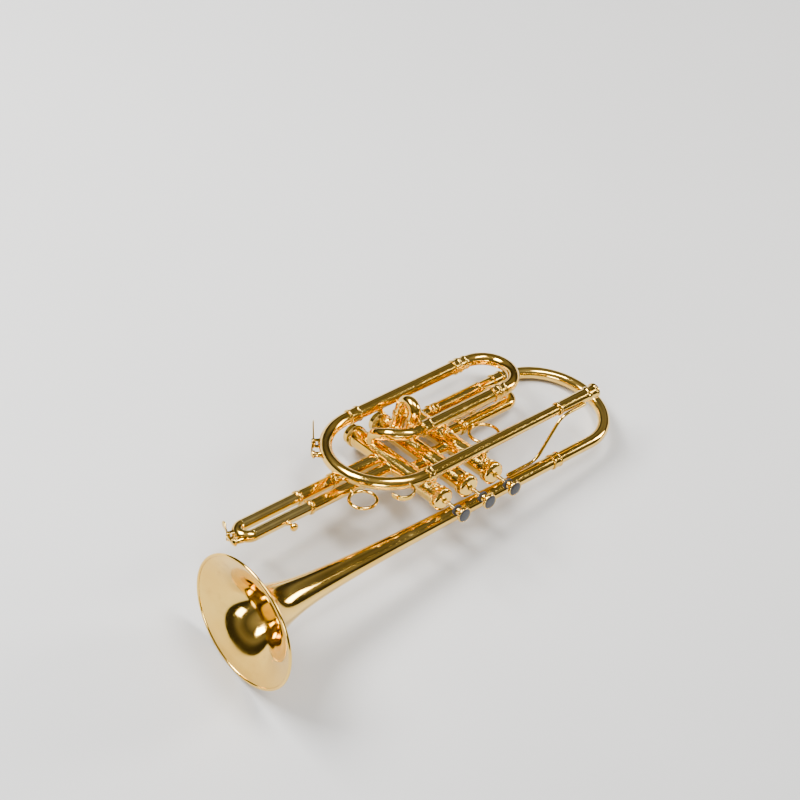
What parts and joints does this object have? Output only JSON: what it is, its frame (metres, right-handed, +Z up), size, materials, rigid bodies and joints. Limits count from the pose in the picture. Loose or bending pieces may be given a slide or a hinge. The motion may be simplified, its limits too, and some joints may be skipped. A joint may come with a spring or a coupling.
{
  "type": "flugelhorn",
  "caption": "Brass flugelhorn with piston valves, a wide front bow, a slim bell and pulling tuning slides, lying on its left side.",
  "frame": {"origin": "centre of the bounding box on the floor the horn lies on", "axes": "+Z up with the horn lying on its left side, on its bell rim and bell bow; +X roughly back along the bell from its mouth towards the mouthpiece; -Y on the side of the finger buttons"},
  "size_m": [0.4706, 0.2106, 0.1274],
  "materials": {
    "lacquered_brass": "polished, clear gold lacquer",
    "bell_brass": "mirror polished, clear gold lacquer",
    "slide_leg_brass": "drawn tube, satin where it slides",
    "brass_stem": "turned brass",
    "nickel_piston": "ground nickel plate",
    "spring_steel": "drawn wire",
    "guide_nylon": "moulded",
    "felt": "pressed felt",
    "cork": "cut cork",
    "button_inlay": "polished dark disc"
  },
  "bodies": {
    "horn": {"bell": "bell_brass", "bell_bow": "bell_brass", "bell_rim": "bell_brass", "bell_tail": "lacquered_brass", "bottom_valve_caps": "lacquered_brass", "bow_key_mount": "lacquered_brass", "bow_key_spring": "spring_steel", "braces": "lacquered_brass", "crossover_tubes": "lacquered_brass", "entry_elbow": "lacquered_brass", "ferrules": "lacquered_brass", "finger_hook": "lacquered_brass", "front_bow": "lacquered_brass", "leadpipe": "lacquered_brass", "mouthpiece_receiver": "lacquered_brass", "slide_sleeves": "lacquered_brass", "tail_sleeve": "lacquered_brass", "top_valve_caps": "lacquered_brass", "valve_casing_1": "lacquered_brass", "valve_casing_2": "lacquered_brass", "valve_casing_3": "lacquered_brass", "valve_guides": "guide_nylon", "valve_spring_1": "spring_steel", "valve_spring_2": "spring_steel", "valve_spring_3": "spring_steel"},
    "valve_1": {"piston_1": "nickel_piston", "valve_stem_1": "brass_stem", "finger_button_1": "lacquered_brass", "button_inlay_1": "button_inlay", "button_felt_1": "felt"},
    "valve_2": {"piston_2": "nickel_piston", "valve_stem_2": "brass_stem", "finger_button_2": "lacquered_brass", "button_inlay_2": "button_inlay", "button_felt_2": "felt"},
    "valve_3": {"piston_3": "nickel_piston", "valve_stem_3": "brass_stem", "finger_button_3": "lacquered_brass", "button_inlay_3": "button_inlay", "button_felt_3": "felt"},
    "main_slide": {"main_slide_crook": "lacquered_brass", "main_slide_legs": "slide_leg_brass", "main_slide_ferrules": "lacquered_brass"},
    "first_slide": {"first_slide_crook": "lacquered_brass", "first_slide_legs": "slide_leg_brass", "first_slide_collars": "lacquered_brass", "thumb_ring": "lacquered_brass"},
    "second_slide": {"second_slide_crook": "lacquered_brass", "second_slide_legs": "slide_leg_brass"},
    "third_slide": {"third_slide_crook": "lacquered_brass", "third_slide_legs": "slide_leg_brass", "third_slide_collars": "lacquered_brass", "finger_ring": "lacquered_brass", "pull_knob": "lacquered_brass", "slide_key_mount": "lacquered_brass", "slide_key_spring": "spring_steel"},
    "slide_key": {"slide_key_lever": "lacquered_brass", "slide_key_cork": "cork"},
    "bow_key": {"bow_key_lever": "lacquered_brass", "bow_key_cork": "cork"}
  },
  "joints": [
    {"name": "valve_1_stroke", "type": "slide", "parent": "horn", "child": "valve_1", "axis": [-0.0325, 0.9449, -0.3256], "range_m": [0, 0.015], "stiffness_N_per_m": 120, "springref_m": -0.012, "deforming": ["valve_spring_1"]},
    {"name": "valve_2_stroke", "type": "slide", "parent": "horn", "child": "valve_2", "axis": [-0.0325, 0.9449, -0.3256], "range_m": [0, 0.015], "stiffness_N_per_m": 120, "springref_m": -0.012, "deforming": ["valve_spring_2"]},
    {"name": "valve_3_stroke", "type": "slide", "parent": "horn", "child": "valve_3", "axis": [-0.0325, 0.9449, -0.3256], "range_m": [0, 0.015], "stiffness_N_per_m": 120, "springref_m": -0.012, "deforming": ["valve_spring_3"]},
    {"name": "main_slide_pull", "type": "slide", "parent": "horn", "child": "main_slide", "axis": [0.9951, 0, -0.0993], "range_m": [0, 0.04]},
    {"name": "first_slide_pull", "type": "slide", "parent": "horn", "child": "first_slide", "axis": [0.9951, 0, -0.0993], "range_m": [0, 0.012]},
    {"name": "second_slide_pull", "type": "slide", "parent": "horn", "child": "second_slide", "axis": [0.3318, 0.3175, 0.8883], "range_m": [0, 0.009]},
    {"name": "third_slide_pull", "type": "slide", "parent": "horn", "child": "third_slide", "axis": [-0.9951, 0, 0.0993], "range_m": [0, 0.022]},
    {"name": "bow_key_hinge", "type": "hinge", "parent": "horn", "child": "bow_key", "pos_m": [-0.0572, 0.08069, 0.05154], "axis": [-0.0939, -0.3272, -0.9403], "range_deg": [0, 18], "deforming": ["bow_key_spring"]},
    {"name": "slide_key_hinge", "type": "hinge", "parent": "third_slide", "child": "slide_key", "pos_m": [-0.18215, 0.04072, 0.05187], "axis": [-0.0939, -0.3272, -0.9403], "range_deg": [0, 18], "deforming": ["slide_key_spring"]}
  ]
}
